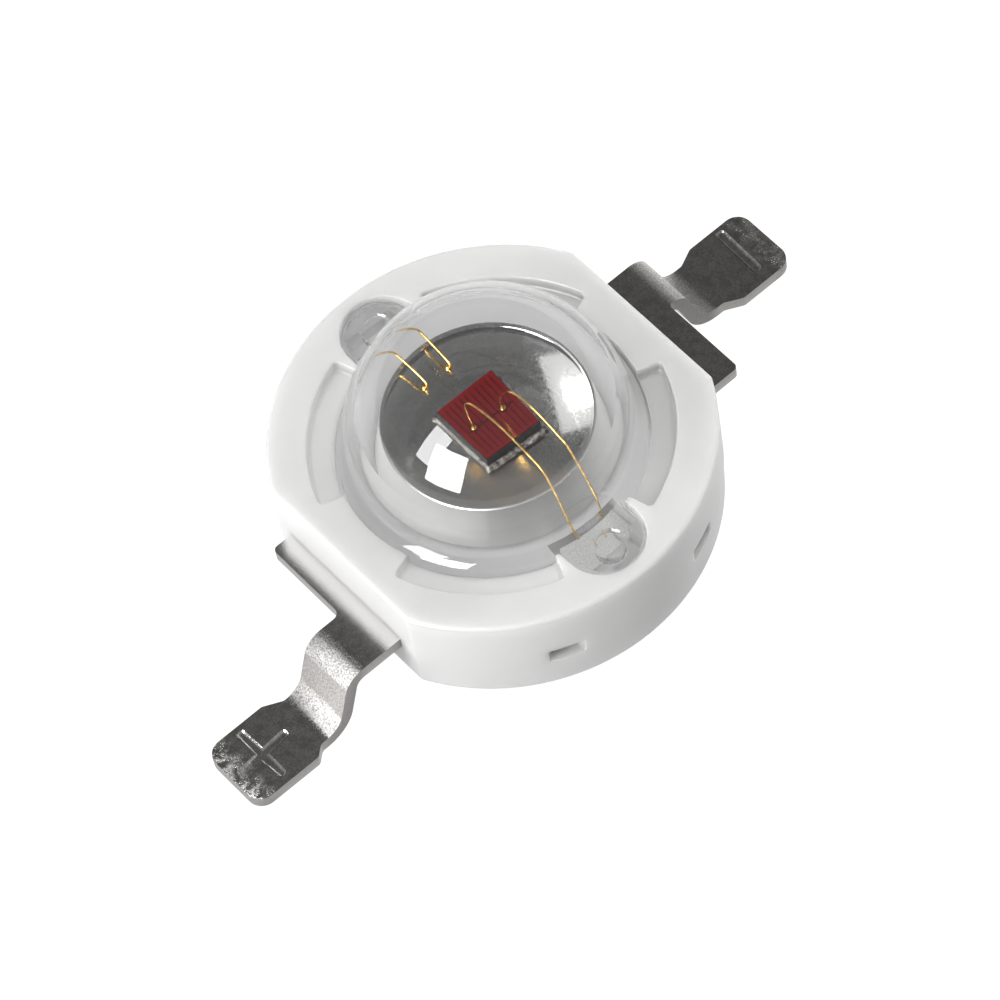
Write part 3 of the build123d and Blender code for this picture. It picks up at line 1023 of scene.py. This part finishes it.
def lens_port(side):
    """Cutter of the gel port in an ear, with a small chamfer at the top."""
    loops = []
    for z, grow in ((1.9, 0.0), (EAR_TOP - 0.03, 0.0), (EAR_TOP, 0.03), (2.9, 0.03)):
        loops.append((z, circle(0, side * PORT_Y, PORT_R + grow, 64)))
    return loft(loops)


def build_lens(mats):
    pts, marks = lens_profile()
    body = to_object("lens_moulded", revolve(pts, 256, marks), 3)
    boolean(body, to_object("ears", merge([lens_ear(s) for s in (-1, 1)]), 3), "UNION")
    boolean(body, to_object("ports", merge([lens_port(s) for s in (-1, 1)]), 3), "DIFFERENCE")
    for f in body.data.polygons:
        if f.center.z < SEAT_TOP:
            f.material_index = SEAT_SLOT
    finish_piece(body, "lens", mats, sharp=30.0)


# Gel
def gel_profile(gap=SEAT_GAP):
    """Section of the gel in the well and the cavity, short of the lens by the gap."""
    pts = [(0.0, 2.0), (MOUTH_R - gap, 2.0), (MOUTH_R - gap, WELL_FLOOR + 0.01)]
    pts.append((FLARE_R - gap, FLARE_Z))
    start = math.degrees(math.asin(CAVITY_CONE / CAVITY_R))
    r = CAVITY_R - gap
    for i in range(40):
        a = math.radians(start + (90.0 - start) * i / 40)
        pts.append((r * math.cos(a), LENS_CENTRE + r * math.sin(a)))
    pts.append((0.0, LENS_CENTRE + r))
    return pts


def port_plug(side):
    """Gel in a port, with a hollow free surface that has its own slot."""
    wall = ((1.9, 0.276), (2.40, 0.276), (2.43, 0.272))
    hollow = ((2.425, 0.24), (2.405, 0.16), (2.395, 0.08), (2.393, 0.02))
    part = loft([(z, circle(0, side * PORT_Y, r, 48)) for z, r in wall + hollow])
    for f in part.faces:
        f.material_index = 1 if f.calc_center_median().z > 2.39 else 0
    return part


def build_gel(mats):
    body = to_object("silicone_gel_fill", revolve(gel_profile(), 96), 2)
    inset = 0.01
    near, reach = WINDOW_START + inset, CHANNEL_REACH - inset
    fill = channels(CHANNEL_HALF - inset, near, reach, LEAD_TOP + 0.003, WELL_FLOOR - inset)
    boolean(body, to_object("channels", fill, 2), "UNION")
    boolean(body, to_object("plugs", merge([port_plug(s) for s in (-1, 1)]), 2), "UNION")
    finish_piece(body, "silicone_gel", mats, sharp=30.0)


# Bond wires
def smooth_path(points, per=14):
    """Catmull-Rom curve through the points."""
    pts = [Vector(p) for p in points]
    pts = [pts[0] * 2 - pts[1]] + pts + [pts[-1] * 2 - pts[-2]]
    out = []
    for i in range(1, len(pts) - 2):
        p0, p1, p2, p3 = pts[i - 1 : i + 3]
        for k in range(per):
            t = k / per
            square = 2 * p0 - 5 * p1 + 4 * p2 - p3
            cube = 3 * p1 - p0 - 3 * p2 + p3
            out.append(0.5 * (2 * p1 + (p2 - p0) * t + square * t * t + cube * t * t * t))
    out.append(pts[-2])
    return out


def tube(bm, path, radius, sides=12):
    """Round wire along the path, closed at both ends."""
    tangent = (path[1] - path[0]).normalized()
    side = tangent.orthogonal().normalized()
    rows = []
    for i, p in enumerate(path):
        a = path[max(i - 1, 0)]
        b = path[min(i + 1, len(path) - 1)]
        t = (b - a).normalized()
        side = (side - t * side.dot(t)).normalized()
        other = t.cross(side)
        row = []
        for k in range(sides):
            w = 2 * math.pi * k / sides
            row.append(bm.verts.new(p + (side * math.cos(w) + other * math.sin(w)) * radius))
        rows.append(row)
    skin(bm, rows)


def build_wire(node, material, points, pad):
    """Wire through the points, with a ball at its first end and a stitch on the pad."""
    bm = bmesh.new()
    tube(bm, smooth_path(points), WIRE_R)
    bond = Vector(points[0])
    ball = bmesh.ops.create_uvsphere(bm, u_segments=20, v_segments=12, radius=BALL_R)
    for v in ball["verts"]:
        v.co.z *= 0.5
        v.co += bond + Vector((0, 0, BALL_LIFT))
    along = Vector((points[-1][0] - points[-3][0], points[-1][1] - points[-3][1], 0)).normalized()
    stitch = bmesh.ops.create_uvsphere(bm, u_segments=20, v_segments=10, radius=1.0)
    turn = Matrix.Rotation(math.atan2(along.y, along.x), 3, "Z")
    centre = Vector((pad[0], pad[1], LEAD_TOP + STITCH_LIFT)) - along * STITCH_BACK
    for v in stitch["verts"]:
        v.co = turn @ Vector((v.co.x * STITCH[0], v.co.y * STITCH[1], v.co.z * STITCH[2]))
        v.co += centre
    bmesh.ops.recalc_face_normals(bm, faces=bm.faces)
    ob = to_object(node + "_drawn", bm)
    finish_piece(ob, node, [material], sharp=60.0)


def chip_wire(node, material, bond, pad, route):
    """Loop from the chip; route gives (x, y, height over the housing) up to its crown's end."""
    points = [(bond[0], bond[1], BOND_Z)]
    for x, y, z in route:
        points.append((x, y, HOUSING_TOP + z))
    last = Vector((route[-1][0], route[-1][1], 0))
    end = Vector((pad[0], pad[1], 0))
    fall = end - last
    for share, z in ((0.19, 0.38), (0.362, 0.0), (0.567, -0.45), (0.75, -0.85)):
        q = last + fall * share
        points.append((q.x, q.y, HOUSING_TOP + z))
    q = end - fall.normalized() * PAD_RUN
    points.append((q.x, q.y, PAD_RUN_Z))
    points.append((pad[0], pad[1], WIRE_END_Z))
    build_wire(node, material, points, pad)


def slug_wire(node, material, x0, x1, lift):
    """Low loop from the dish over the rim of the slug; lift raises its middle."""
    route = [(-0.983, 0.012), (-0.947, 0.070), (-0.940, 0.118), (-0.968, 0.150), (-1.03, 0.170)]
    route += [(-1.15, 0.182), (-1.30, 0.196), (-1.42, 0.202), (-1.50, 0.188), (-1.57, 0.11)]
    points = []
    for y, z in route:
        middle = lift * max(0.0, 1.0 - abs(-y - 1.2) / 0.2)
        points.append((y, DISH_FLOOR + z + middle))
    points += [(-1.75, 2.49), (-1.967, 2.10), (-2.20, 1.68)]
    points += [(-2.33, PAD_RUN_Z), (SLUG_PAD_Y, WIRE_END_Z)]
    placed = []
    for y, z in points:
        t = max((SLUG_BOND_Y - y) / (SLUG_BOND_Y - SLUG_PAD_Y), 0.0)
        placed.append((x0 + (x1 - x0) * t, y, z))
    build_wire(node, material, placed, (x1, SLUG_PAD_Y))


# Die attach
def build_die_attach():
    """Rough skirt of epoxy round the foot of the die, thin on the side towards the anode."""
    bm = bmesh.new()
    count = 160
    turn = Matrix.Rotation(math.radians(DIE_TURN), 3, "Z")
    section = (
        (0.0, 0.0),
        (0.0, 0.045),
        (0.015, 0.045),
        (0.05, 0.036),
        (0.09, 0.018),
        (0.11, 0.0),
    )
    rows = []
    for level, (grow, rise) in enumerate(section):
        row = []
        for i in range(count):
            w = 2 * math.pi * i / count
            c, s = math.cos(w), math.sin(w)
            k = 1 / max(abs(c) / DIE_HALF_WIDTH, abs(s) / DIE_HALF_LENGTH)
            x, y = c * k, s * k
            n = Vector((x, y, 0)).normalized()
            coarse = noise.noise(Vector((x * 4, y * 4, level * 0.4)))
            fine = noise.noise(Vector((x * 13, y * 13, level)))
            wobble = coarse + 0.5 * fine
            spread = 0.25 if n.x > 0.7 else 0.72
            if level > 1:
                out = min(grow * spread * (1.0 + 0.4 * wobble), SKIRT_WIDTH)
            else:
                out = grow
            h = rise + (0.02 * wobble if 0 < level < 5 else 0.0)
            p = turn @ Vector((x + n.x * out, y + n.y * out, 0))
            z = DISH_FLOOR + min(max(h, 0.0), SKIRT_HEIGHT)
            row.append(bm.verts.new((p.x + DIE_X, p.y + DIE_Y, z)))
        rows.append(row)
    skin(bm, rows, closed=True)
    bmesh.ops.recalc_face_normals(bm, faces=bm.faces)
    ob = to_object("die_attach_epoxy", bm)
    finish_piece(ob, "die_attach", [epoxy_material()], sharp=80.0)


# Build everything
plating = lead_material()
gold = wire_material()

build_housing()
build_slug()
build_lead(
    "anode_lead",
    plating,
    tab_outline(0.43, 0.15, (5.48, 5.85), (5.58, 5.77)),
    [
        ((5.84, 0.865), (7.01, 0.955), 0.19),
        ((6.46, 0.28), (6.44, 1.51), 0.19),
    ],
)
build_lead(
    "cathode_lead",
    plating,
    tab_outline(0.86, 0.08, (5.60, 5.95), (5.60, 5.95)),
    [((6.58, 1.58), (6.54, 0.42), 0.21)],
    math.pi,
)

lens_outer = clear_material("lens_outer", LENS_IOR, 0.94)
lens_inner = clear_material("lens_inner", LENS_IOR / GEL_IOR, 0.96)
lens_seat = clear_material("lens_seat", LENS_IOR / GEL_IOR, 0.97, 0.25)
gel_top = clear_material("gel_top", GEL_IOR, 0.97)
build_lens([lens_outer, lens_inner, lens_seat])
build_gel([gel_material(), gel_top])
build_die_attach()

chip_wire(
    "right_bond_wire",
    gold,
    (0.215, -0.034),
    (0.105, 2.35),
    (
        (0.219, -0.129, 0.651),
        (0.220, -0.149, 0.809),
        (0.217, -0.079, 0.931),
        (0.211, 0.046, 1.011),
        (0.201, 0.268, 1.051),
        (0.186, 0.574, 1.055),
        (0.173, 0.872, 0.990),
        (0.158, 1.176, 0.900),
        (0.144, 1.440, 0.760),
    ),
)
chip_wire(
    "left_bond_wire",
    gold,
    (-0.243, 0.003),
    (-0.46, 2.33),
    (
        (-0.240, -0.032, 0.471),
        (-0.243, 0.000, 0.664),
        (-0.252, 0.109, 0.873),
        (-0.265, 0.260, 1.079),
        (-0.284, 0.479, 1.195),
        (-0.301, 0.683, 1.203),
        (-0.325, 0.969, 1.104),
        (-0.349, 1.252, 0.950),
        (-0.362, 1.400, 0.840),
    ),
)
slug_wire("outer_slug_wire", gold, -0.21, -0.25, 0.0)
slug_wire("inner_slug_wire", gold, 0.17, 0.21, 0.006)

for node, material in (
    ("led_die", die_material()),
    ("emitter_layer", emitter_material()),
    ("die_contacts", contact_material()),
):
    nodes[node].data.materials.clear()
    nodes[node].data.materials.append(material)

# Floor. It is left out of the light on diffuse surfaces.
bpy.ops.mesh.primitive_plane_add(size=1.2, location=(0, 0, -0.00002))
floor = bpy.context.object
floor.name = "studio_floor"
floor.data.materials.append(floor_material())
floor.visible_diffuse = False

# Camera, aimed from the photograph's side
azimuth, elevation, roll = math.radians(148.523), math.radians(58.033), math.radians(-11.268)
target = Vector((0.000796, 0.001155, 0.00255))
distance = 0.105
back = Vector(
    (
        math.sin(azimuth) * math.cos(elevation),
        -math.cos(azimuth) * math.cos(elevation),
        math.sin(elevation),
    )
)
right = Vector((math.cos(azimuth), math.sin(azimuth), 0.0))
up = back.cross(right)
cam_x = right * math.cos(roll) + up * math.sin(roll)
cam_y = up * math.cos(roll) - right * math.sin(roll)
camera_data = bpy.data.cameras.new("camera")
camera_data.sensor_width = 36.0
camera_data.lens = 217.19
camera_data.clip_start = 0.01
camera_data.clip_end = 10.0
camera = bpy.data.objects.new("camera", camera_data)
scene.collection.objects.link(camera)
turn = Matrix((cam_x, cam_y, back)).transposed().to_4x4()
camera.matrix_world = Matrix.Translation(target + back * distance) @ turn
scene.camera = camera


# Lights. The panels show as highlights, the soft boxes shade the matte parts.
LIGHT_DISTANCE = 0.25
LIGHT_TARGET = Vector((0, 0, 0.003))


def softbox(name, direction, width, height, radiance, roll=0.0, seen="diffuse"):
    """Rectangle lit to the radiance and turned to the part; seen names the rays that meet it."""
    data = bpy.data.lights.new(name, "AREA")
    data.shape = "RECTANGLE"
    data.size = width
    data.size_y = height
    data.energy = math.pi * width * height * radiance
    ob = bpy.data.objects.new(name, data)
    scene.collection.objects.link(ob)
    d = Vector(direction).normalized()
    ob.location = LIGHT_TARGET + d * LIGHT_DISTANCE
    ob.rotation_mode = "QUATERNION"
    across = Vector((0, 0, 1)).cross(d).normalized()
    basis = Matrix((across, d.cross(across), d)).transposed()
    twist = Matrix.Rotation(math.radians(roll), 3, "Z")
    ob.rotation_quaternion = basis.to_quaternion() @ twist.to_quaternion()
    ob.visible_diffuse = seen == "diffuse"
    ob.visible_glossy = seen == "all but diffuse"
    ob.visible_transmission = seen != "diffuse"


softbox("key_panel", (0.898, 0.268, 0.349), 0.121, 0.135, 20.0, -3.0, "all but diffuse")
softbox("side_panel", (0.856, 0.004, 0.517), 0.073, 0.131, 13.0, -7.0, "all but diffuse")
softbox("rear_panel", (0.03, -0.54, 0.84), 0.046, 0.070, 0.75, -25.0, "through the lens")
softbox("rear_core", (0.035, -0.56, 0.828), 0.026, 0.026, 2.5, -25.0, "through the lens")
softbox("left_box", (0.88, -0.11, 0.26), 0.16, 0.16, 7.3)
softbox("right_box", (-0.88, -0.08, 0.26), 0.16, 0.16, 4.2)
softbox("top_box", (0.0, 0.05, 1.0), 0.20, 0.20, 4.0)


# Sky. It darkens towards one high direction and is brighter at the horizon and below.
def sky_range(tree, value, from_min, from_max, to_min, to_max, kind="LINEAR"):
    """Maps the value from one range to another and returns the result."""
    m = tree.nodes.new("ShaderNodeMapRange")
    m.interpolation_type = kind
    m.inputs["From Min"].default_value = from_min
    m.inputs["From Max"].default_value = from_max
    m.inputs["To Min"].default_value = to_min
    m.inputs["To Max"].default_value = to_max
    tree.links.new(value, m.inputs["Value"])
    return m.outputs["Result"]


world = bpy.data.worlds.new("studio")
scene.world = world
world.use_nodes = True
sky = world.node_tree
direction = sky.nodes.new("ShaderNodeTexCoord").outputs["Generated"]
aim = sky.nodes.new("ShaderNodeVectorMath")
aim.operation = "DOT_PRODUCT"
aim.inputs[1].default_value = (-0.277, -0.4516, 0.848)
sky.links.new(direction, aim.inputs[0])
split = sky.nodes.new("ShaderNodeSeparateXYZ")
sky.links.new(direction, split.inputs[0])
strength = sky.nodes.new("ShaderNodeMath")
strength.operation = "ADD"
high_part = sky_range(sky, aim.outputs["Value"], 0.5, 0.9, 0.30, 0.11, "SMOOTHSTEP")
low_part = sky_range(sky, split.outputs["Z"], -0.05, 0.02, 0.19, 0.0)
sky.links.new(high_part, strength.inputs[0])
sky.links.new(low_part, strength.inputs[1])
sky.links.new(strength.outputs[0], sky.nodes["Background"].inputs["Strength"])
sky.nodes["Background"].inputs["Color"].default_value = (1.0, 1.0, 1.0, 1.0)

# Colour and ray settings
scene.view_settings.view_transform = "Standard"
scene.view_settings.look = "None"
scene.cycles.max_bounces = 16
scene.cycles.transmission_bounces = 16
scene.cycles.glossy_bounces = 8
scene.cycles.diffuse_bounces = 4
scene.cycles.transparent_max_bounces = 24
scene.cycles.caustics_refractive = False
scene.cycles.caustics_reflective = False
